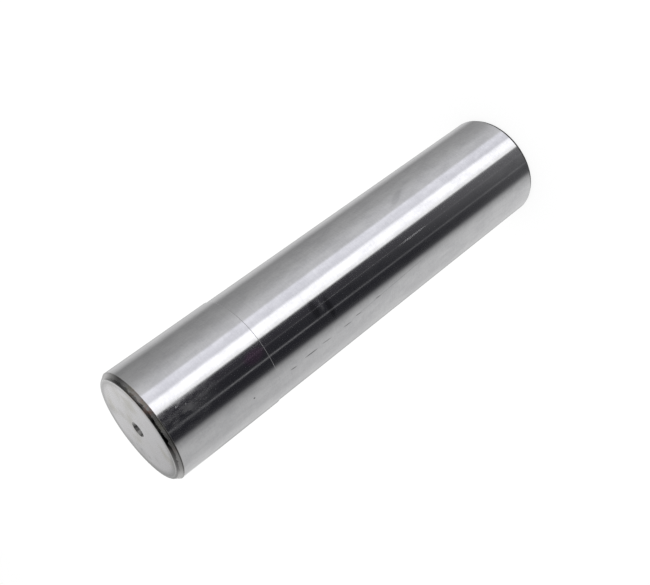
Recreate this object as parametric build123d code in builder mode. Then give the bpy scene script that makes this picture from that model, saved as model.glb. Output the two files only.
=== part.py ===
"""Steering kingpin: one hardened steel pin, turned, then ground between centres.

It stands on its foot. +Z runs up the axis, and the origin is the middle of the foot's face.
The head land is ground larger than the shank below it, so that the axle beam grips the head
while the stub axle's bushes run on the shank. Both ends keep the centre drilling that the
grinder held them by. Sizes are in millimetres.
"""

import os
from math import radians, tan

from build123d import *

# Lands
pin_length = 150.0
head_diameter = 35.0
head_length = 36.2  # from the head's face down to the smaller land
shank_diameter = 34.6
step_run = 0.2  # axial length of the ramp that joins the two lands

# End edges: each is a chamfer with a radial and an axial leg, and rounded corners. The
# grinding wheel leaves the corner at the land crisp, and handling rounds the one at the face.
head_chamfer_radial = 1.2
head_chamfer_axial = 1.6
foot_chamfer_radial = 0.7
foot_chamfer_axial = 1.3
land_corner_radius = 0.2
face_corner_radius = 0.8

# Centre drillings, the same in both ends
centre_mouth_diameter = 4.8
centre_pilot_diameter = 2.5
centre_cone_angle = 60.0  # included angle of the cone that the grinder's centre bears on
centre_pilot_depth = 3.1  # straight wall below the cone
centre_tip_angle = 118.0  # included angle left by the drill's point

# Places that follow from those sizes
head_radius = head_diameter / 2
shank_radius = shank_diameter / 2
step_bottom = pin_length - head_length
step_top = step_bottom + step_run
mouth_radius = centre_mouth_diameter / 2
pilot_radius = centre_pilot_diameter / 2
cone_depth = (mouth_radius - pilot_radius) / tan(radians(centre_cone_angle / 2))
pilot_end = cone_depth + centre_pilot_depth
tip_end = pilot_end + pilot_radius / tan(radians(centre_tip_angle / 2))

# A centre drilling is drawn on a plane whose X is the radius and whose Y runs into the pin
foot_drilling = Plane(origin=(0, 0, 0), x_dir=(1, 0, 0), z_dir=(0, -1, 0))
head_drilling = Plane(origin=(0, 0, pin_length), x_dir=(1, 0, 0), z_dir=(0, 1, 0))

with BuildPart() as kingpin:
    # Half section of the blank, from the foot's middle round to the head's middle
    foot_corner = (shank_radius - foot_chamfer_radial, 0)
    foot_shoulder = (shank_radius, foot_chamfer_axial)
    head_shoulder = (head_radius, pin_length - head_chamfer_axial)
    head_corner = (head_radius - head_chamfer_radial, pin_length)
    with BuildSketch(Plane.XZ) as half_section:
        with BuildLine():
            outline = Polyline(
                (0, 0),
                foot_corner,
                foot_shoulder,
                (shank_radius, step_bottom),
                (head_radius, step_top),
                head_shoulder,
                head_corner,
                (0, pin_length),
            )
            Line(outline @ 1, outline @ 0)
        make_face()
        # Rounded where a chamfer meets a land, and more where it meets a face
        for corners, radius in (
            ((foot_shoulder, head_shoulder), land_corner_radius),
            ((foot_corner, head_corner), face_corner_radius),
        ):
            fillet([half_section.vertices().sort_by_distance(at)[0] for at in corners], radius)
    revolve(axis=Axis.Z)

    # Cone, pilot and drill point of each centre drilling
    for drilling in (foot_drilling, head_drilling):
        with BuildSketch(drilling):
            with BuildLine():
                bore = Polyline(
                    (0, 0),
                    (mouth_radius, 0),
                    (pilot_radius, cone_depth),
                    (pilot_radius, pilot_end),
                    (0, tip_end),
                )
                Line(bore @ 1, bore @ 0)
            make_face()
        revolve(axis=Axis.Z, mode=Mode.SUBTRACT)

kingpin.part.label = "kingpin"
os.makedirs("parts", exist_ok=True)
export_step(kingpin.part, "parts/kingpin.step")
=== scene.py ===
"""Looks of a steering kingpin: one hardened steel pin, cylindrically ground between centres.

The pin stands on its foot with +Z up its axis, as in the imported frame. Its skin is one surface
of revolution, worked out from a half section, with one material for each way in which a stretch
of the section was made. It stands on a pale table in a light tent whose cloths and strip lamp
give the ground steel its bands. Lengths are metres, and MM turns millimetres into them. Bearings
are degrees round the pin from the side that faces -Y, positive towards +X.
"""

import logging
import math
from dataclasses import dataclass
from enum import Enum
from typing import Protocol

import bpy
import numpy as np
from mathutils import Matrix, Vector


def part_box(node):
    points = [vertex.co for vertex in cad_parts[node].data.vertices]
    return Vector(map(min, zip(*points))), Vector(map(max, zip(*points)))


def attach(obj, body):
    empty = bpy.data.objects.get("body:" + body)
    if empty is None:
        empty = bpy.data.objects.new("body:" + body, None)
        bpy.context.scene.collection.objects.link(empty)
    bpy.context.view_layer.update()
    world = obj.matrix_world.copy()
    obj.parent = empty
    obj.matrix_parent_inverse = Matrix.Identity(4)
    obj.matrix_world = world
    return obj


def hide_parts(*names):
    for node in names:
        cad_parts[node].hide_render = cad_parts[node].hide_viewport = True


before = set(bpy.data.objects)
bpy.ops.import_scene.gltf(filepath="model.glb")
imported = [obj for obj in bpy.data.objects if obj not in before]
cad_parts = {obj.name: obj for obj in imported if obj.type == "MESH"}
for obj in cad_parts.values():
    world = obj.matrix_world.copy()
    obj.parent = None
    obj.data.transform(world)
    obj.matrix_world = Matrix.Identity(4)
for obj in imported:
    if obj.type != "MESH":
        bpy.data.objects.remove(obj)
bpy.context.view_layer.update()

MM = 0.001
NODE = "kingpin"
SKIN = "ground_kingpin"
log = logging.getLogger(NODE)

Tree = bpy.types.NodeTree
Socket = bpy.types.NodeSocket
Axes = bpy.types.bpy_prop_collection
Colour = tuple[float, float, float, float]
Feed = Socket | float | tuple[float, ...]
Shares = tuple[tuple[float, float], ...]


def linear(hex_colour: str) -> Colour:
    """Turns an sRGB hex colour into the linear one that a shader takes.

    Args:
        hex_colour: Six hex digits after a hash sign.

    Returns:
        Red, green, blue and an alpha of one.
    """
    parts = [int(hex_colour[i : i + 2], 16) / 255 for i in (1, 3, 5)]
    red, green, blue = (
        part / 12.92 if part <= 0.04045 else ((part + 0.055) / 1.055) ** 2.4 for part in parts
    )
    return red, green, blue, 1.0


def grey(level: float) -> Colour:
    """Returns the plain linear grey of a level, where 1 is white."""
    return level, level, level, 1.0


def add_node(
    tree: Tree,
    kind: str,
    settings: dict[str, object] | None = None,
    feeds: dict[int | str, Feed] | None = None,
) -> bpy.types.Node:
    """Adds a node with its settings, and feeds its inputs.

    Args:
        tree: The tree that gets the node.
        kind: The node's type name, without the word ShaderNode.
        settings: Properties of the node. "stops" gives a colour ramp's places and colours.
        feeds: A socket to link or a value to set, for each input by its name or its index.

    Returns:
        The new node.
    """
    node = tree.nodes.new("ShaderNode" + kind)
    for name, value in (settings or {}).items():
        if name == "stops":
            elements = node.color_ramp.elements
            while len(elements) < len(value):
                elements.new(0.5)
            for element, (place, colour) in zip(elements, value):
                element.position = place
                element.color = colour
        else:
            setattr(node, name, value)
    for name, feed in (feeds or {}).items():
        if isinstance(feed, Socket):
            tree.links.new(feed, node.inputs[name])
        else:
            node.inputs[name].default_value = feed
    return node


def new_material(name: str) -> tuple[bpy.types.Material, Tree]:
    """Starts a material with an empty node tree.

    Args:
        name: The material's name.

    Returns:
        The material and its tree.
    """
    material = bpy.data.materials.new(name)
    material.use_nodes = True
    material.node_tree.nodes.clear()
    return material, material.node_tree


def bare_metal(tree: Tree, colour: Feed, roughness: Feed, more: dict[str, Feed] | None = None) -> None:
    """Ends a material as bare metal.

    Args:
        tree: The material's tree.
        colour: What tints its reflections.
        roughness: How much they blur.
        more: Further inputs of the shader.
    """
    feeds = {"Base Color": colour, "Metallic": 1.0, "Roughness": roughness} | (more or {})
    shader = add_node(tree, "BsdfPrincipled", feeds=feeds)
    add_node(tree, "OutputMaterial", feeds={"Surface": shader.outputs[0]})


def weighed(tree: Tree, base: Feed, *parts: tuple[Feed, Feed]) -> Feed:
    """Adds patterns up, each by its own weight. One without weight gets no node.

    Args:
        tree: The tree that gets the nodes.
        base: What the sum starts from.
        parts: The patterns, each with its weight.

    Returns:
        The sum.
    """
    for part, weight in parts:
        if weight != 0.0:
            feeds = {0: part, 1: weight, 2: base}
            base = add_node(tree, "Math", {"operation": "MULTIPLY_ADD"}, feeds).outputs[0]
    return base


class Blend(Enum):
    """How a layer of colour meets what lies under it."""

    COVER = "MIX"
    TINT = "MULTIPLY"


def layered(
    tree: Tree, base: Feed, *layers: tuple[Feed, Feed], blend: Blend = Blend.COVER
) -> Feed:
    """Lays colours over one another, each by its own share.

    Args:
        tree: The tree that gets the nodes.
        base: The colour underneath.
        layers: The share and the colour of each layer, from the lowest up.
        blend: How a layer meets what lies under it.

    Returns:
        The colour that is seen.
    """
    for share, colour in layers:
        feeds = {"Fac": share, "Color1": base, "Color2": colour}
        base = add_node(tree, "MixRGB", {"blend_type": blend.value}, feeds).outputs["Color"]
    return base


def bearing_of(tree: Tree, axes: Axes) -> Socket:
    """Adds the bearing, as the angle of x over -y.

    Args:
        tree: The tree that gets the nodes.
        axes: The three components of a place or a direction.

    Returns:
        The bearing in degrees.
    """
    forward = add_node(tree, "Math", {"operation": "MULTIPLY"}, {0: axes[1], 1: -1.0}).outputs[0]
    turn = add_node(tree, "Math", {"operation": "ARCTAN2"}, {0: axes[0], 1: forward}).outputs[0]
    return add_node(tree, "Math", {"operation": "DEGREES"}, {0: turn}).outputs[0]


def off_axis(tree: Tree, place: Socket, x: float = 0.0, y: float = 0.0) -> Socket:
    """Adds the distance from an upright line, which is the pin's axis unless it is moved.

    Args:
        tree: The tree that gets the nodes.
        place: Object coordinates.
        x: Where the line stands along X.
        y: Where it stands along Y.

    Returns:
        The distance in metres.
    """
    feeds = {0: place, 1: (1.0, 1.0, 0.0)}
    flat = add_node(tree, "VectorMath", {"operation": "MULTIPLY"}, feeds).outputs[0]
    feeds = {0: flat, 1: (x, y, 0.0)}
    return add_node(tree, "VectorMath", {"operation": "DISTANCE"}, feeds).outputs["Value"]


@dataclass(frozen=True)
class Edge:
    """A soft edge between what lies before it and what lies after it.

    Attributes:
        start: Where the change starts, in the unit of what the edge is laid on.
        end: Where it ends, above the start or below it.
        smooth: Whether it eases in and out, and doesn't run straight.
    """

    start: float
    end: float
    smooth: bool = True

    def blend(self, tree: Tree, value: Feed, after: Feed = 1.0, before: Feed = 0.0) -> Socket:
        """Adds the change across the edge.

        Args:
            tree: The tree that gets the node.
            value: What the edge is laid on.
            after: What there is from the end on.
            before: What there is up to the start.

        Returns:
            The blend of the two.
        """
        kind = "SMOOTHSTEP" if self.smooth else "LINEAR"
        feeds = {
            "Value": value,
            "From Min": self.start,
            "From Max": self.end,
            "To Min": before,
            "To Max": after,
        }
        return add_node(tree, "MapRange", {"interpolation_type": kind}, feeds).outputs["Result"]


def within(tree: Tree, whole: Feed, *edges: tuple[Edge, Feed]) -> Feed:
    """Adds a share that is whole only past every one of its edges.

    Args:
        tree: The tree that gets the nodes.
        whole: What the share comes to.
        edges: The edges, each with what it is laid on.

    Returns:
        The share.
    """
    for edge, value in edges:
        whole = edge.blend(tree, value, whole)
    return whole


FULL_TURN = Edge(-180.0, 180.0, smooth=False)


def once_round(tree: Tree, bearing: Socket, stops: list[tuple[float, Colour]]) -> Socket:
    """Adds a colour that runs straight from one bearing to the next.

    Args:
        tree: The tree that gets the nodes.
        bearing: The bearing in degrees.
        stops: The colours, each with its bearing.

    Returns:
        The colour.
    """
    turn = FULL_TURN.end - FULL_TURN.start
    places = [((degrees - FULL_TURN.start) / turn, colour) for degrees, colour in stops]
    feeds = {"Fac": FULL_TURN.blend(tree, bearing)}
    return add_node(tree, "ValToRGB", {"stops": places}, feeds).outputs["Color"]


@dataclass(frozen=True)
class Grain:
    """A noise pattern on the steel.

    Attributes:
        width: Size of the grain across the pin's axis.
        length: Size of the grain along it.
        tone: How much the pattern dulls the colour.
        gloss: How much it roughens the surface.
        fine: How much its finer parts count, from 0 to 1.
        detail: How many times finer parts are added.
    """

    width: float
    length: float
    tone: float = 0.0
    gloss: float = 0.0
    fine: float = 0.5
    detail: float = 3.0

    def noise(self, tree: Tree, place: Socket) -> Socket:
        """Adds the pattern.

        Args:
            tree: The tree that gets the nodes.
            place: Object coordinates.

        Returns:
            The noise, from 0 to 1.
        """
        scale = (1 / self.width, 1 / self.width, 1 / self.length)
        scaled = add_node(tree, "Mapping", feeds={"Vector": place, "Scale": scale}).outputs[0]
        feeds = {"Vector": scaled, "Scale": 1.0, "Detail": self.detail, "Roughness": self.fine}
        return add_node(tree, "TexNoise", feeds=feeds).outputs[0]


class Zone(Enum):
    """How a stretch of the skin was made. The value is its material's place on the mesh."""

    GROUND = 0
    SHOULDER = 1
    SCALED = 2
    FACED = 3
    DRILLED = 4
    TURNED = 5


class Finish(Protocol):
    """A surface finish that can make its material."""

    def make(self) -> bpy.types.Material:
        """Returns the finish as a new material."""


class MarkKind(Enum):
    """What a mark does to ground steel: how much rougher, darker and more purple it makes it."""

    SCRATCH = (0.9, 0.0, 0.0)
    DASH = (0.12, 0.62, 0.0)
    SMEAR = (0.0, 0.5, 0.0)
    SPECK = (0.3, 0.7, 0.0)
    HAZE = (0.3, 0.0, 0.0)
    TEMPER = (0.07, 0.0, 1.0)


@dataclass(frozen=True)
class Mark:
    """One handling mark on the lands, as an ellipse laid on the unrolled surface.

    Attributes:
        kind: What it does to the steel.
        bearing: Its middle, in degrees.
        height: Above the foot.
        length: Along the mark.
        width: Across the mark.
        tilt: Degrees from the pin's axis, positive leaning towards +X.
        share: How strongly the mark shows, from 0 to 1.
    """

    kind: MarkKind
    bearing: float
    height: float
    length: float
    width: float
    tilt: float = 0.0
    share: float = 1.0


HANDLING_MARKS = (
    # A broken row of dents down the right side
    Mark(MarkKind.SPECK, -43.0, 123.0 * MM, 0.8 * MM, 0.6 * MM),
    Mark(MarkKind.DASH, -44.6, 108.4 * MM, 3.2 * MM, 0.5 * MM, 6.0, 0.85),
    Mark(MarkKind.DASH, -43.4, 101.4 * MM, 6.4 * MM, 0.5 * MM, 2.0),
    Mark(MarkKind.DASH, -43.0, 95.4 * MM, 5.0 * MM, 0.5 * MM, 5.0, 0.6),
    Mark(MarkKind.DASH, -43.0, 87.0 * MM, 4.0 * MM, 0.4 * MM, 2.0, 0.85),
    Mark(MarkKind.DASH, -41.0, 82.5 * MM, 3.0 * MM, 0.4 * MM, 5.0, 0.75),
    Mark(MarkKind.DASH, -39.0, 74.0 * MM, 3.0 * MM, 0.4 * MM, 5.0, 0.7),
    Mark(MarkKind.DASH, -38.5, 68.0 * MM, 42.0 * MM, 0.5 * MM, -3.0, 0.25),
    # Smears, haze, fine scratches and a temper patch in the dark bands
    Mark(MarkKind.SMEAR, -15.5, 90.3 * MM, 2.6 * MM, 9.6 * MM, 0.0, 0.8),
    Mark(MarkKind.SMEAR, -9.0, 94.9 * MM, 3.2 * MM, 8.0 * MM, 0.0, 0.75),
    Mark(MarkKind.HAZE, -9.5, 92.5 * MM, 1.5 * MM, 5.0 * MM, 0.0, 0.5),
    Mark(MarkKind.SCRATCH, -8.6, 82.0 * MM, 70.0 * MM, 0.16 * MM, 0.0, 0.22),
    Mark(MarkKind.SCRATCH, -8.9, 53.8 * MM, 15.0 * MM, 0.65 * MM),
    Mark(MarkKind.TEMPER, -9.5, 117.7 * MM, 9.5 * MM, 5.0 * MM, 0.0, 0.85),
    # Haze beside the lamp's reflection near the head
    Mark(MarkKind.HAZE, -7.0, 142.0 * MM, 32.0 * MM, 6.4 * MM, 0.0, 0.65),
    Mark(MarkKind.HAZE, -18.0, 141.0 * MM, 28.0 * MM, 8.0 * MM, 0.0, 0.4),
    Mark(MarkKind.SCRATCH, -4.0, 143.0 * MM, 0.9 * MM, 0.6 * MM),
    Mark(MarkKind.SCRATCH, -6.5, 140.5 * MM, 0.7 * MM, 0.5 * MM, 0.0, 0.6),
    # A wipe and a rub on the left side
    Mark(MarkKind.SMEAR, 33.0, 48.9 * MM, 10.0 * MM, 3.0 * MM, -26.0, 0.28),
    Mark(MarkKind.SCRATCH, 52.0, 145.0 * MM, 0.9 * MM, 1.4 * MM, 0.0, 0.2),
    # A dull streak where the head has lain on the bench
    Mark(MarkKind.SMEAR, -80.0, 136.0 * MM, 44.0 * MM, 3.4 * MM, 0.0, 0.32),
)


@dataclass(frozen=True)
class GroundSteel:
    """Case-hardened steel, cylindrically ground: bright, with fine rings that stretch
    each reflection along the pin and leave it sharp across."""

    radius: float
    bright: str = "#D1D1D2"
    dull: str = "#C1C1C3"
    temper: str = "#FFD2F6"
    roughness: float = 0.045  # before the grains and marks add theirs
    anisotropy: float = 0.85
    grain_turn: float = 0.25  # a quarter turn, which lays the grain round the pin
    # Real rings are about 0.05 mm apart and hairlines as fine: both are drawn coarser, to show
    rings: Grain = Grain(60.0 * MM, 0.4 * MM, tone=0.25, gloss=0.012)
    hairlines: Grain = Grain(0.3 * MM, 35.0 * MM, gloss=0.05)
    smudges: Grain = Grain(14.0 * MM, 14.0 * MM, tone=0.45)
    mottle: Grain = Grain(2.0 * MM, 5.0 * MM, tone=0.62, gloss=0.11)
    specks: Grain = Grain(0.7 * MM, 0.7 * MM, tone=0.36, gloss=0.07)
    haze: Grain = Grain(1.5 * MM, 3.0 * MM)
    ring_height: float = 0.0002 * MM
    dulling: Edge = Edge(0.57, 1.11)  # on the grains' sum
    hairline_edge: Edge = Edge(0.66, 0.74, smooth=False)  # on the noise: only its peaks are lines
    haze_edge: Edge = Edge(0.3, 0.65, smooth=False)
    mark_edge: Edge = Edge(1.0, 0.4)  # on the way out from a mark's middle to its rim
    marks: tuple[Mark, ...] = HANDLING_MARKS

    def make(self) -> bpy.types.Material:
        """Returns the ground steel with its rings, smudges, hairlines and marks."""
        material, tree = new_material("ground_hardened_steel")
        place = add_node(tree, "TexCoord").outputs["Object"]
        grains = (self.smudges, self.mottle, self.specks, self.rings)
        noises = [grain.noise(tree, place) for grain in grains]
        hairs = self.hairline_edge.blend(tree, self.hairlines.noise(tree, place))
        rougher, darker, tinted = self.marked(tree, place)

        tones = ((noise, grain.tone) for noise, grain in zip(noises, grains))
        tone = self.dulling.blend(tree, weighed(tree, 0.0, *tones))
        colour = layered(tree, linear(self.bright), (tone, linear(self.dull)))
        stains = ((tinted, linear(self.temper)), (darker, grey(0.0)))
        colour = layered(tree, colour, *stains, blend=Blend.TINT)
        glosses = [(noise, grain.gloss) for noise, grain in zip(noises, grains)]
        glosses += [(hairs, self.hairlines.gloss), (rougher, 1.0)]
        relief = add_node(
            tree, "Bump", feeds={"Strength": 1.0, "Distance": self.ring_height, "Height": noises[-1]}
        ).outputs["Normal"]
        tangent = add_node(tree, "Tangent", {"direction_type": "RADIAL", "axis": "Z"}).outputs[0]
        lay = {
            "Normal": relief,
            "Tangent": tangent,
            "Anisotropic": self.anisotropy,
            "Anisotropic Rotation": self.grain_turn,
        }
        bare_metal(tree, colour, weighed(tree, self.roughness, *glosses), lay)
        return material

    def marked(self, tree: Tree, place: Socket) -> list[Feed]:
        """Lays the handling marks on the unrolled surface.

        Args:
            tree: The tree that gets the nodes.
            place: Object coordinates.

        Returns:
            How much rougher, darker and more purple the marks make the steel.
        """
        axes = add_node(tree, "SeparateXYZ", feeds={0: place}).outputs
        degree = math.radians(1.0) * self.radius  # its length along the surface
        arc = weighed(tree, 0.0, (bearing_of(tree, axes), degree))
        unrolled = add_node(tree, "CombineXYZ", feeds={0: arc, 1: axes[2]}).outputs[0]
        haze = self.haze.noise(tree, place)
        sums: list[Feed] = [0.0, 0.0, 0.0]
        for mark in self.marks:
            feeds = {
                "Vector": unrolled,
                "Location": (mark.bearing * degree, mark.height, 0.0),
                "Rotation": (0.0, 0.0, -math.radians(mark.tilt)),
                "Scale": (mark.width / 2, mark.length / 2, 1.0),
            }
            centred = add_node(tree, "Mapping", {"vector_type": "TEXTURE"}, feeds).outputs[0]
            reach = add_node(tree, "VectorMath", {"operation": "LENGTH"}, {0: centred}).outputs["Value"]
            share: Feed = mark.share
            if mark.kind is MarkKind.HAZE:
                share = self.haze_edge.blend(tree, haze, mark.share)
            mask = self.mark_edge.blend(tree, reach, share)
            sums = [weighed(tree, total, (mask, gain)) for total, gain in zip(sums, mark.kind.value)]
        return sums


@dataclass(frozen=True)
class HeatScaleAndShade:
    """Turned steel after hardening: a satin chamfer with a ragged black band beside the face, a
    thinner dark line along the land where the grinding wheel stopped, and brown and olive heat
    stains. The band is partly black scale and partly painted shade and painted dark reflection,
    darkest where it mirrors the black cloths and gone behind. Handling has dulled the corner with the
    face.

    The edges on depth are measured from the land towards the axis. The shares are given by
    bearing and run straight from one bearing to the next.
    """

    radius: float
    steel: str = "#C8C7C6"
    dull_grey: str = "#A4A4A4"
    brown: str = "#BCA198"
    olive: str = "#AFAEA0"
    # The black of the line and of the band; the band is partly painted shade and painted dark
    # reflection
    black: str = "#161518"
    roughness: float = 0.2  # before the blots add theirs
    # The band beside the face: partly black scale, partly painted shade and painted dark reflection
    scale_and_shade_start: Edge = Edge(0.66 * MM, 0.78 * MM)
    scale_and_shade_end: Edge = Edge(1.38 * MM, 1.22 * MM)
    scale_and_shade_reach: float = 0.47 * MM  # how much further the band goes where it is worst
    line_start: Edge = Edge(0.03 * MM, 0.09 * MM)
    line_end: Edge = Edge(0.3 * MM, 0.15 * MM)
    worn_start: Edge = Edge(0.95 * MM, 1.25 * MM)
    blot_edge: Edge = Edge(0.38, 0.56)  # on the noise
    blots: Grain = Grain(1.0 * MM, 1.0 * MM, gloss=0.08, fine=0.6)
    tatters: Grain = Grain(1.6 * MM, 1.6 * MM, fine=0.6)
    ragged: float = 0.9 * MM  # how far the tatters shift the band's start
    # Painted dark reflection: by bearing, the band is whole where the chamfer mirrors the black cloths,
    # and gone behind
    scale_and_shade_shares: Shares = (
        (-80.0, 0.0), (-68.0, 0.12), (-60.0, 0.42), (-36.0, 0.65), (-28.0, 1.0), (-17.0, 1.0),
        (-10.0, 0.85), (-2.0, 1.0), (4.0, 0.75), (10.0, 0.45), (15.0, 0.8), (22.0, 0.55), (45.0, 0.5),
        (56.0, 0.45), (64.0, 0.2), (80.0, 0.0),
    )
    # Painted shade: the band reaches further on the bearings that mirror the darkest cloths
    scale_and_shade_reach_shares: Shares = (
        (-60.0, 0.0), (-36.0, 0.65), (-26.0, 1.0), (0.0, 1.0), (20.0, 0.5), (38.0, 0.0),
    )
    worn_shares: Shares = (
        (-80.0, 0.8), (-66.0, 0.35), (-55.0, 0.2), (-45.0, 0.3), (-25.0, 1.0), (25.0, 1.0),
        (36.0, 0.2), (44.0, 0.1), (54.0, 0.45), (62.0, 0.6), (74.0, 1.0),
    )
    line_shares: Shares = ((-75.0, 0.2), (-60.0, 0.7), (-8.0, 0.7), (4.0, 0.2), (75.0, 0.2))
    brown_shares: Shares = (
        (-40.0, 0.0), (-34.0, 0.3), (-28.0, 0.0), (1.0, 0.0), (6.0, 1.0), (10.0, 0.9), (13.0, 0.3),
        (17.0, 0.8), (21.0, 0.2), (29.0, 0.6), (34.0, 0.2), (38.0, 0.0),
    )
    olive_shares: Shares = (
        (-16.0, 0.0), (-10.0, 0.8), (-4.0, 0.3), (2.0, 0.0), (12.0, 0.0), (14.0, 0.6), (20.0, 0.0),
        (28.0, 0.3), (35.0, 0.8), (40.0, 0.0),
    )

    def make(self) -> bpy.types.Material:
        """Returns the stained and scaled steel."""
        material, tree = new_material("heat_scaled_and_shaded_turned_steel")
        place = add_node(tree, "TexCoord").outputs["Object"]
        bearing = bearing_of(tree, add_node(tree, "SeparateXYZ", feeds={0: place}).outputs)
        band, reach, dull_grey, line, brown, olive = (
            once_round(tree, bearing, [(degrees, grey(share)) for degrees, share in shares])
            for shares in (
                self.scale_and_shade_shares,
                self.scale_and_shade_reach_shares,
                self.worn_shares,
                self.line_shares,
                self.brown_shares,
                self.olive_shares,
            )
        )
        depth = weighed(tree, self.radius, (off_axis(tree, place), -1.0))
        tatters = self.tatters.noise(tree, place)
        torn = weighed(tree, -self.ragged / 2, (depth, 1.0), (tatters, self.ragged))
        beyond = weighed(tree, depth, (reach, -self.scale_and_shade_reach))
        blots = self.blots.noise(tree, place)
        stains = (
            (within(tree, dull_grey, (self.worn_start, depth)), self.dull_grey),
            (within(tree, brown, (self.blot_edge, blots)), self.brown),
            (within(tree, olive, (self.blot_edge, blots)), self.olive),
            (within(tree, line, (self.line_start, depth), (self.line_end, depth)), self.black),
            # The ragged band: partly black scale, partly painted shade and painted dark reflection
            (within(tree, band, (self.scale_and_shade_start, torn), (self.scale_and_shade_end, beyond)), self.black),
        )
        layers = ((share, linear(stain)) for share, stain in stains)
        colour = layered(tree, linear(self.steel), *layers)
        bare_metal(tree, colour, weighed(tree, self.roughness, (blots, self.blots.gloss)))
        return material


@dataclass(frozen=True)
class Smudge:
    """A dull fingermark on the end face.

    Attributes:
        x: Its middle along X.
        y: Its middle along Y.
        size: How far it reaches.
        share: How strongly it shows, from 0 to 1.
    """

    x: float
    y: float
    size: float
    share: float


@dataclass(frozen=True)
class FacedSteel:
    """Steel faced on the lathe and dulled by handling: an even satin with faint clouds and
    fingermarks, and painted shade that darkens it round the rim, less on one side."""

    light: str = "#CBCACC"
    cloudy: str = "#BFBDB6"
    # The grey of the fingermarks and of the painted shade round the rim
    dull_grey: str = "#989898"
    roughness: float = 0.26
    clouds: Grain = Grain(9.0 * MM, 9.0 * MM, gloss=0.05, fine=0.55)
    cloud_edge: Edge = Edge(0.45, 0.72)  # on the noise
    # Painted shade: the face darkens towards its rim across this edge
    rim: Edge = Edge(13.2 * MM, 15.9 * MM)
    rim_shade_middle: tuple[float, float] = (0.25 * MM, -0.4 * MM)  # the painted rim shade reaches in less on this side
    smudges: tuple[Smudge, ...] = (
        Smudge(-5.0 * MM, 10.0 * MM, 1.4 * MM, 0.8),
        Smudge(-8.0 * MM, 8.0 * MM, 1.2 * MM, 0.6),
        Smudge(-3.0 * MM, 10.5 * MM, 1.2 * MM, 0.6),
        Smudge(-9.5 * MM, 3.0 * MM, 2.4 * MM, 0.2),
        Smudge(-5.5 * MM, 11.0 * MM, 5.0 * MM, 0.45),
        Smudge(-1.5 * MM, 14.8 * MM, 5.0 * MM, 0.75),
        Smudge(9.8 * MM, 10.2 * MM, 4.0 * MM, 0.6),
        Smudge(6.5 * MM, 3.5 * MM, 3.0 * MM, 0.25),
    )

    def make(self) -> bpy.types.Material:
        """Returns the satin end face."""
        material, tree = new_material("faced_satin_steel")
        place = add_node(tree, "TexCoord").outputs["Object"]
        # Painted shade round the rim, with the fingermarks laid over it
        dull = self.rim.blend(tree, off_axis(tree, place, *self.rim_shade_middle))
        for smudge in self.smudges:
            away = off_axis(tree, place, smudge.x, smudge.y)
            mark = Edge(smudge.size, 0.0).blend(tree, away, smudge.share)
            dull = add_node(tree, "Math", {"operation": "MAXIMUM"}, {0: mark, 1: dull}).outputs[0]
        tone = self.cloud_edge.blend(tree, self.clouds.noise(tree, place))
        layers = ((tone, linear(self.cloudy)), (dull, linear(self.dull_grey)))
        colour = layered(tree, linear(self.light), *layers)
        bare_metal(tree, colour, weighed(tree, self.roughness, (tone, self.clouds.gloss)))
        return material


@dataclass(frozen=True)
class PlainSteel:
    """Steel left as a tool cut it, with oil and dust in its grain: a satin that the grime
    darkens and dulls in fine patches."""

    name: str
    clean: str
    grimy: str
    roughness: float
    grime: Grain = Grain(0.8 * MM, 0.8 * MM, gloss=0.15)

    def make(self) -> bpy.types.Material:
        """Returns the tooled steel with its grime."""
        material, tree = new_material(self.name)
        place = add_node(tree, "TexCoord").outputs["Object"]
        grime = self.grime.noise(tree, place)
        colour = layered(tree, linear(self.clean), (grime, linear(self.grimy)))
        bare_metal(tree, colour, weighed(tree, self.roughness, (grime, self.grime.gloss)))
        return material


@dataclass(frozen=True)
class Corner:
    """A corner of the half section, and the stretch that leaves it.

    Attributes:
        radius: Distance from the axis.
        height: Above the foot.
        rounding: Radius of the arc that blends the corner.
        zone: How the stretch after the corner was made.
        rows: Steps along that stretch.
    """

    radius: float
    height: float
    rounding: float
    zone: Zone
    rows: int


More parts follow.
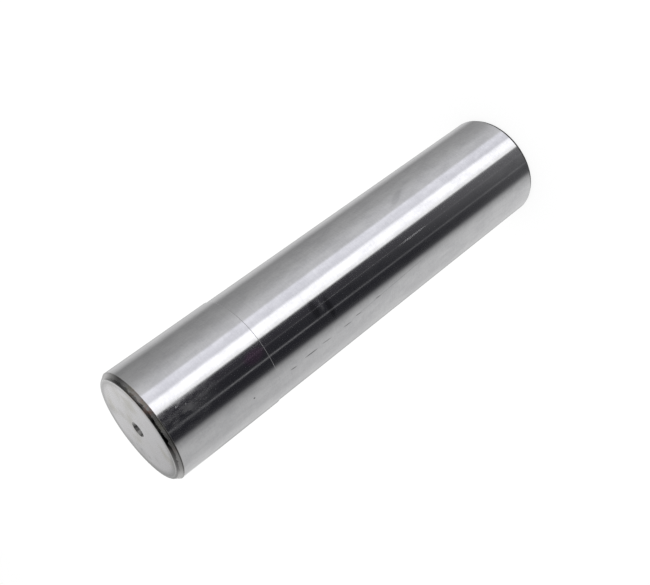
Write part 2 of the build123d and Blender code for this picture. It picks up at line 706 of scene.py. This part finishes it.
@dataclass(frozen=True)
class PinSkin:
    """The whole pin: lands, step, chamfers, faces and centre drillings, as one closed skin."""

    radius: float
    length: float
    head_length: float = 36.2 * MM
    step_drop: float = 0.2 * MM
    step_run: float = 0.2 * MM
    head_chamfer: tuple[float, float] = (1.2 * MM, 1.6 * MM)
    foot_chamfer: tuple[float, float] = (0.7 * MM, 1.3 * MM)
    land_blend: float = 0.2 * MM
    face_blend: float = 0.8 * MM
    step_blend: float = 0.04 * MM
    mouth_radius: float = 2.4 * MM
    mouth_blend: float = 0.12 * MM
    pilot_radius: float = 1.25 * MM
    pilot_wall: float = 3.1 * MM
    pilot_blend: float = 0.08 * MM
    cone_slope: float = 30.0  # degrees between the axis and the wall that the centre bears on
    tip_slope: float = 59.0  # the same for the drill's point
    columns: int = 360
    arc_rows: int = 8

    def corners(self) -> list[Corner]:
        """Returns the half section's corners, from the head drilling's tip to the foot's."""
        top, shank = self.length, self.radius - self.step_drop
        step = top - self.head_length
        head_in, head_down = self.head_chamfer
        foot_in, foot_up = self.foot_chamfer
        cone = (self.mouth_radius - self.pilot_radius) / math.tan(math.radians(self.cone_slope))
        pilot = cone + self.pilot_wall
        tip = pilot + self.pilot_radius / math.tan(math.radians(self.tip_slope))
        return [
            Corner(0.0, top - tip, 0.0, Zone.DRILLED, 3),
            Corner(self.pilot_radius, top - pilot, 0.0, Zone.DRILLED, 5),
            Corner(self.pilot_radius, top - cone, self.pilot_blend, Zone.DRILLED, 8),
            Corner(self.mouth_radius, top, self.mouth_blend, Zone.FACED, 20),
            Corner(self.radius - head_in - self.face_blend, top, 0.0, Zone.SCALED, 2),
            Corner(self.radius - head_in, top, self.face_blend, Zone.SCALED, 14),
            Corner(self.radius, top - head_down, self.land_blend, Zone.GROUND, 30),
            Corner(self.radius, step + self.step_run, self.step_blend, Zone.SHOULDER, 3),
            Corner(shank, step, self.step_blend, Zone.GROUND, 54),
            Corner(shank, foot_up, self.land_blend, Zone.TURNED, 6),
            Corner(shank - foot_in, 0.0, self.face_blend, Zone.FACED, 16),
            Corner(self.mouth_radius, 0.0, self.mouth_blend, Zone.DRILLED, 8),
            Corner(self.pilot_radius, cone, self.pilot_blend, Zone.DRILLED, 5),
            Corner(self.pilot_radius, pilot, 0.0, Zone.DRILLED, 3),
            Corner(0.0, tip, 0.0, Zone.DRILLED, 0),
        ]

    def half_section(self) -> tuple[np.ndarray, np.ndarray]:
        """Traces the half section with its rounded corners.

        A corner turns by an angle a between unit directions u and v. Its arc of radius q starts
        q tan(a/2) before the corner and runs q(sin t) along u and q(1 - cos t) across it, for t
        from 0 to a. A straight stretch has steps that close up towards both of its ends as half
        of one minus the cosine of an even angle, so that shading stays true beside the arcs.

        Returns:
            Points as (radius, height), and the zone's number for each step between them.
        """
        corners = self.corners()
        spots = np.array([(corner.radius, corner.height) for corner in corners])
        ways = np.diff(spots, axis=0)
        ways /= np.linalg.norm(ways, axis=1, keepdims=True)
        points = [spots[:1]]
        zones: list[int] = []
        for i, corner in enumerate(corners[:-1]):
            end = corners[i + 1]
            last = i + 2 == len(corners)
            turn = 0.0 if last else math.acos(float(np.clip(ways[i] @ ways[i + 1], -1, 1)))
            trim = end.rounding * math.tan(turn / 2)
            start_point = points[-1][-1]
            end_point = spots[i + 1] - ways[i] * trim
            share = (1 - np.cos(np.pi * np.arange(1, corner.rows + 1) / corner.rows)) / 2
            points.append(start_point + share[:, None] * (end_point - start_point))
            zones += [corner.zone.value] * corner.rows
            if trim > 0:
                across = ways[i + 1] - ways[i] * math.cos(turn)
                across /= np.linalg.norm(across)
                angle = turn * np.arange(1, self.arc_rows + 1)[:, None] / self.arc_rows
                points.append(
                    end_point
                    + end.rounding * (np.sin(angle) * ways[i] + (1 - np.cos(angle)) * across)
                )
                arc_zone = end.zone if corner.zone in (Zone.GROUND, Zone.FACED) else corner.zone
                zones += [arc_zone.value] * self.arc_rows
        return np.concatenate(points), np.array(zones)

    def build(self) -> bpy.types.Object:
        """Turns the half section round the axis into one closed mesh.

        A point of the section at radius r and height h, at bearing b from -Y, stands at
        (r sin b, -r cos b, h). The two points on the axis close the drillings' tips.

        Returns:
            The pin's object, at the origin.
        """
        section, zones = self.half_section()
        rings = section[1:-1]
        bearing = 2 * np.pi * np.arange(self.columns) / self.columns
        grid = np.stack(
            [
                rings[:, :1] * np.sin(bearing),
                -rings[:, :1] * np.cos(bearing),
                np.repeat(rings[:, 1:], self.columns, axis=1),
            ],
            axis=-1,
        )
        tips = np.array([[0.0, 0.0, section[0, 1]], [0.0, 0.0, section[-1, 1]]])
        points = np.concatenate([grid.reshape(-1, 3), tips])
        column = np.arange(self.columns)
        after = (column + 1) % self.columns
        row = np.arange(len(rings) - 1)[:, None] * self.columns
        quads = np.stack(
            [row + column, row + self.columns + column, row + self.columns + after, row + after],
            axis=-1,
        ).reshape(-1, 4)
        last_row = (len(rings) - 1) * self.columns
        upper = np.stack([np.full_like(column, len(points) - 2), column, after], axis=-1)
        lower = np.stack(
            [last_row + column, np.full_like(column, len(points) - 1), last_row + after], axis=-1
        )
        mesh = bpy.data.meshes.new(SKIN)
        mesh.from_pydata(points.tolist(), [], quads.tolist() + upper.tolist() + lower.tolist())
        slots = np.concatenate(
            [
                np.repeat(zones[1:-1], self.columns),
                np.repeat([zones[0], zones[-1]], self.columns),
            ]
        )
        mesh.polygons.foreach_set("material_index", slots.astype(np.int32))
        mesh.polygons.foreach_set("use_smooth", np.ones(len(mesh.polygons), dtype=bool))
        mesh.update()
        pin = bpy.data.objects.new(SKIN, mesh)
        bpy.context.scene.collection.objects.link(pin)
        return pin

    def dress(self, pin: bpy.types.Object) -> None:
        """Gives each zone of the skin its finish.

        Of the plain ones, the shoulder is a hair of bright steel that the wheel's edge cut, the
        drilled centres are a clean satin, and the foot's chamfer is painted dark, as painted shade for
        the shadowed table that it mirrors.

        Args:
            pin: The object from build.
        """
        shank = self.radius - self.step_drop
        finishes: dict[Zone, Finish] = {
            Zone.GROUND: GroundSteel(shank),
            Zone.SHOULDER: PlainSteel("wheel_ground_shoulder", "#D8D8DA", "#C4C4C6", roughness=0.25),
            Zone.SCALED: HeatScaleAndShade(self.radius),
            Zone.FACED: FacedSteel(),
            Zone.DRILLED: PlainSteel("drilled_centre_steel", "#C6C5C4", "#9E9D9C", roughness=0.15),
            # Painted shade: the foot's chamfer is made dark for the shadowed table that it mirrors
            Zone.TURNED: PlainSteel("turned_foot_chamfer_painted_dark", "#505050", "#3A3A3A", roughness=0.25),
        }
        for zone in Zone:
            pin.data.materials.append(finishes[zone].make())


@dataclass(frozen=True)
class Panel:
    """One upright cloth or lamp of the light tent.

    Attributes:
        start: Bearing where it starts.
        end: Bearing where it ends.
        start_level: Brightness at its start, where 1 is white.
        end_level: Brightness at its end.
        tint: Its colour, as hex.
    """

    start: float
    end: float
    start_level: float
    end_level: float
    tint: str = "#FFFFFF"


@dataclass(frozen=True)
class Slit:
    """A gap between two black cloths, through which some light leaks.

    Attributes:
        bearing: Its middle.
        width: Degrees across.
        low_level: Brightness of its lower part.
        high_level: Brightness of its upper part.
    """

    bearing: float
    width: float
    low_level: float
    high_level: float


@dataclass(frozen=True)
class LightTent:
    """A white tent with one strip lamp, a diffusing cloth and two black cloths beside it.

    Its walls are dimmer above, light falls through the back of it, and its open top shows a dark
    ceiling round a skylight. Only the steel's reflections show the tent. To the eye, and to the
    light that falls on the table, the surroundings are plain white.

    The edges are degrees of elevation, or of bearing where their names end in "side", unless a
    comment says otherwise. Between two panels the brightness runs straight from one to the other.
    """

    panels: tuple[Panel, ...] = (
        Panel(-180.0, -162.0, 0.44, 0.49),
        Panel(-148.0, -92.0, 0.75, 0.76),
        Panel(-82.0, -74.0, 0.72, 0.65),
        Panel(-66.0, -62.5, 0.5, 0.34),
        Panel(-57.0, -54.0, 0.085, 0.045, "#F4F4FF"),
        Panel(-47.0, -22.0, 0.032, 0.032, "#EAEAFF"),
        Panel(-14.0, -3.0, 0.045, 0.059, "#F0ECFF"),
        Panel(-0.7, -0.1, 0.1, 0.25),
        Panel(0.8, 4.5, 1.42, 1.46),
        Panel(9.5, 20.6, 1.8, 1.8, "#FCFCFF"),
        Panel(25.0, 41.6, 1.12, 1.32, "#F8F8FF"),
        Panel(45.2, 58.0, 0.83, 0.79, "#FDFDFF"),
        Panel(80.0, 114.0, 0.54, 0.395),
        Panel(120.5, 136.0, 0.37, 0.645),
        Panel(147.0, 155.0, 0.745, 0.735),
        Panel(165.0, 180.0, 0.54, 0.47),
    )
    slits: tuple[Slit, ...] = (
        Slit(-36.2, 2.4, 0.09, 0.22),
        Slit(-16.5, 1.8, 0.04, 0.06),
    )
    upper_panels: tuple[Panel, ...] = (
        Panel(-180.0, -130.0, 0.5, 0.36),
        Panel(-98.0, -80.0, 0.36, 0.12),
        Panel(-65.0, -28.0, 0.05, 0.2),
        Panel(0.0, 14.0, 0.12, 0.2),
        Panel(28.0, 54.0, 0.46, 0.44),
        Panel(76.0, 98.0, 0.45, 0.22),
        Panel(110.0, 116.0, 0.06, 0.07),
        Panel(126.0, 144.0, 0.16, 0.2),
        Panel(162.0, 180.0, 0.5, 0.5),
    )
    wall_change: Edge = Edge(0.0, 28.0)  # from the lower panels to the upper ones
    lamp_level: float = 1.85
    lamp_spill: float = 0.1
    lamp_spill_foot: Edge = Edge(-30.0, -41.0)
    lamp_spill_side: Edge = Edge(-48.0, -8.0)
    lamp_side: Edge = Edge(2.0, -2.0)  # no spill shows on the lamp itself
    table_level: float = 0.36
    table_edge: Edge = Edge(-42.0, -62.0)
    table_spill: float = 0.1
    table_spill_foot: Edge = Edge(-36.0, -43.0)
    slit_fall: Edge = Edge(-31.0, -24.0)  # from a slit's lower part to its upper part
    slit_hem: Edge = Edge(0.75, 0.25)  # in slit widths from its middle
    side_shade: float = 0.15  # how much dimmer the side cloths are at their tops
    shade_rise: Edge = Edge(-31.0, -16.0)
    shade_breadth: Edge = Edge(0.75, 0.95)  # on the bearing's sine, either way
    glow_left: float = 0.5  # the light through the back wall, at its left
    glow_right: float = 1.25
    glow_across: Edge = Edge(-0.097, 0.1303, smooth=False)  # on the direction's X
    glow_round: Edge = Edge(0.86, 0.955)  # on the direction's Y
    glow_foot: Edge = Edge(2.0, 8.0)
    glow_top: Edge = Edge(38.0, 24.0)
    flap_level: float = 1.1  # the tent's door flap, folded back behind the pin's left
    flap_foot: Edge = Edge(-17.0, -14.5)
    flap_top: Edge = Edge(-2.0, -6.0)
    flap_side: Edge = Edge(-150.0, -164.0)
    opening_level: float = 0.02
    opening_edge: Edge = Edge(55.0, 72.0)
    skylight_level: float = 0.4
    skylight_edge: Edge = Edge(72.0, 82.0)
    lean: float = 7.6  # degrees by which the cloths close in towards the viewer near the table
    lean_edge: Edge = Edge(-14.0, -39.0, smooth=False)

    def build(self) -> None:
        """Makes the world that stands for the tent."""
        world = bpy.data.worlds.new("light_tent")
        bpy.context.scene.world = world
        world.use_nodes = True
        world.cycles.sampling_method = "NONE"  # what it casts is plain white
        tree = world.node_tree
        tree.nodes.clear()
        way = add_node(tree, "TexCoord").outputs["Generated"]
        axes = add_node(tree, "SeparateXYZ", feeds={0: way}).outputs
        bearing = bearing_of(tree, axes)
        rise = add_node(tree, "Math", {"operation": "ARCSINE"}, {0: axes[2]}).outputs[0]
        elevation = add_node(tree, "Math", {"operation": "DEGREES"}, {0: rise}).outputs[0]
        turn = add_node(tree, "Math", {"operation": "RADIANS"}, {0: bearing}).outputs[0]
        side = add_node(tree, "Math", {"operation": "SINE"}, {0: turn}).outputs[0]
        lean = self.lean_edge.blend(tree, elevation, -self.lean)
        bearing = weighed(tree, bearing, (side, lean))

        lit = self.walls(tree, bearing, elevation, side)
        spill = self.near_table(tree, bearing, elevation)
        spill = weighed(tree, spill, (self.leaks(tree, bearing, elevation), 1.0))
        lit = add_node(tree, "VectorMath", {"operation": "ADD"}, {0: lit, 1: spill}).outputs[0]
        glow = self.glow_across.blend(tree, axes[0], self.glow_right, self.glow_left)
        glow_edges = (
            (self.glow_round, axes[1]),
            (self.glow_foot, elevation),
            (self.glow_top, elevation),
        )
        flap_edges = (
            (self.flap_foot, elevation),
            (self.flap_top, elevation),
            (self.flap_side, bearing),
        )
        lit = layered(
            tree,
            lit,
            (within(tree, 1.0, *glow_edges), glow),
            (within(tree, 1.0, *flap_edges), grey(self.flap_level)),
            (self.table_edge.blend(tree, elevation), grey(self.table_level)),
            (self.opening_edge.blend(tree, elevation), grey(self.opening_level)),
            (self.skylight_edge.blend(tree, elevation), grey(self.skylight_level)),
        )
        glossy = add_node(tree, "LightPath").outputs["Is Glossy Ray"]
        seen = layered(tree, grey(1.0), (glossy, lit))
        sky = add_node(tree, "Background", feeds={"Color": seen, "Strength": 1.0})
        add_node(tree, "OutputWorld", feeds={"Surface": sky.outputs[0]})

    def walls(self, tree: Tree, bearing: Socket, elevation: Socket, side: Socket) -> Socket:
        """Adds the panels, which fall off on the side cloths towards their tops.

        Args:
            tree: The world's tree.
            bearing: Bearing in degrees.
            elevation: Elevation in degrees.
            side: The sine of the bearing.

        Returns:
            The light of the walls.
        """
        lower, upper = (
            once_round(tree, bearing, self.stops(panels)) for panels in (self.panels, self.upper_panels)
        )
        cloths = layered(tree, lower, (self.wall_change.blend(tree, elevation), upper))
        reach = add_node(tree, "Math", {"operation": "ABSOLUTE"}, {0: side}).outputs[0]
        dimmed = self.lamp_level * (1 - self.side_shade)
        at_top = self.shade_breadth.blend(tree, reach, dimmed, self.lamp_level)
        strength = self.shade_rise.blend(tree, elevation, at_top, self.lamp_level)
        feeds = {0: cloths, "Scale": strength}
        return add_node(tree, "VectorMath", {"operation": "SCALE"}, feeds).outputs[0]

    def stops(self, panels: tuple[Panel, ...]) -> list[tuple[float, Colour]]:
        """Turns panels into colours by bearing, where the lamp's level counts as 1.

        Args:
            panels: The panels, in the order of their bearings.

        Returns:
            The colours, each with its bearing.
        """
        stops = []
        for panel in panels:
            tint = linear(panel.tint)
            for bearing, level in ((panel.start, panel.start_level), (panel.end, panel.end_level)):
                red, green, blue = (part * level / self.lamp_level for part in tint[:3])
                stops.append((bearing, (red, green, blue, 1.0)))
        return stops

    def leaks(self, tree: Tree, bearing: Socket, elevation: Socket) -> Feed:
        """Adds the light that leaks through the slits.

        Args:
            tree: The world's tree.
            bearing: Bearing in degrees.
            elevation: Elevation in degrees.

        Returns:
            The leaked light.
        """
        total: Feed = 0.0
        for slit in self.slits:
            off = weighed(tree, -slit.bearing / slit.width, (bearing, 1 / slit.width))
            off = add_node(tree, "Math", {"operation": "ABSOLUTE"}, {0: off}).outputs[0]
            level = self.slit_fall.blend(tree, elevation, slit.high_level, slit.low_level)
            total = weighed(tree, total, (self.slit_hem.blend(tree, off, level), 1.0))
        return total

    def near_table(self, tree: Tree, bearing: Socket, elevation: Socket) -> Feed:
        """Adds the light that the lamp and the table spill over the foot of the black cloths.

        Args:
            tree: The world's tree.
            bearing: Bearing in degrees.
            elevation: Elevation in degrees.

        Returns:
            The spilt light.
        """
        lamp_edges = ((self.lamp_spill_foot, elevation), (self.lamp_spill_side, bearing))
        from_lamp = within(tree, self.lamp_spill, *lamp_edges)
        from_table = self.table_spill_foot.blend(tree, elevation, self.table_spill)
        both = weighed(tree, from_lamp, (from_table, 1.0))
        return self.lamp_side.blend(tree, bearing, both)


@dataclass(frozen=True)
class Table:
    """The opal acrylic table under the pin, lit from below: a matt, nearly white sheet on which
    only a faint soft shadow shows."""

    half_width: float = 3.0
    opal: str = "#6C6C6C"
    glow: float = 0.88

    def build(self) -> bpy.types.Object:
        """Returns the table top, as a square at the foot's height."""
        mesh = bpy.data.meshes.new("table_top")
        square = ((-1, -1), (1, -1), (1, 1), (-1, 1))
        corners = [(x * self.half_width, y * self.half_width, 0.0) for x, y in square]
        mesh.from_pydata(corners, [], [range(len(corners))])
        table = bpy.data.objects.new("table_top", mesh)
        bpy.context.scene.collection.objects.link(table)
        table.visible_glossy = False
        mesh.materials.append(self.make())
        return table

    def make(self) -> bpy.types.Material:
        """Returns the opal acrylic, which glows to the eye but lights nothing."""
        material, tree = new_material("opal_acrylic")
        rays = add_node(tree, "LightPath").outputs
        looks = ("Is Camera Ray", "Is Glossy Ray", "Is Transmission Ray")
        strength = weighed(tree, 0.0, *((rays[look], self.glow) for look in looks))
        opal = add_node(tree, "BsdfDiffuse", feeds={"Color": linear(self.opal)}).outputs[0]
        glow = add_node(tree, "Emission", feeds={"Color": grey(1.0), "Strength": strength}).outputs[0]
        both = add_node(tree, "AddShader", feeds={0: opal, 1: glow}).outputs[0]
        add_node(tree, "OutputMaterial", feeds={"Surface": both})
        return material


@dataclass(frozen=True)
class Viewpoint:
    """Where the picture is taken from: close in front of the pin and above its head, with the
    camera turned so that the pin's head comes to the lower left."""

    lens: float = 52.05  # millimetres
    stand_off: float = 0.25126
    height: float = 0.21059
    aim_side: float = -0.00065
    aim_height: float = 0.08018
    roll: float = -126.869  # degrees
    nearest: float = 0.01  # nothing closer is drawn

    def build(self) -> bpy.types.Object:
        """Returns the camera, set as the scene's own."""
        camera = bpy.data.cameras.new("camera")
        camera.lens = self.lens
        camera.clip_start = self.nearest
        view = bpy.data.objects.new("camera", camera)
        bpy.context.scene.collection.objects.link(view)
        eye = Vector((0.0, -self.stand_off, self.height))
        ahead = (Vector((self.aim_side, 0.0, self.aim_height)) - eye).normalized()
        level = ahead.cross(Vector((0.0, 0.0, 1.0))).normalized()
        upright = level.cross(ahead)
        roll = math.radians(self.roll)
        right = level * math.cos(roll) + upright * math.sin(roll)
        up = right.cross(ahead)
        turned = Matrix((right, up, -ahead)).transposed().to_4x4()
        view.matrix_world = Matrix.Translation(eye) @ turned
        bpy.context.scene.camera = view
        return view


def main() -> None:
    """Builds the pin's skin and its surroundings, and reports each piece."""
    logging.basicConfig(level=logging.INFO, format="%(name)s: %(message)s")
    bpy.context.scene.view_settings.view_transform = "Standard"

    low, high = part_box(NODE)
    skin = PinSkin(radius=(high[0] - low[0]) / 2, length=high[2] - low[2])
    pin = skin.build()
    skin.dress(pin)
    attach(pin, "root")
    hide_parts(NODE)
    log.info("%s: %d faces, %d finishes", pin.name, len(pin.data.polygons), len(pin.data.materials))

    table = Table().build()
    log.info("%s: %.1f m wide", table.name, table.dimensions[0])
    tent = LightTent()
    tent.build()
    log.info("light tent: %d panels, %d slits", len(tent.panels), len(tent.slits))
    view = Viewpoint().build()
    log.info("%s: %.2f mm lens", view.name, view.data.lens)


if __name__ == "__main__":
    main()
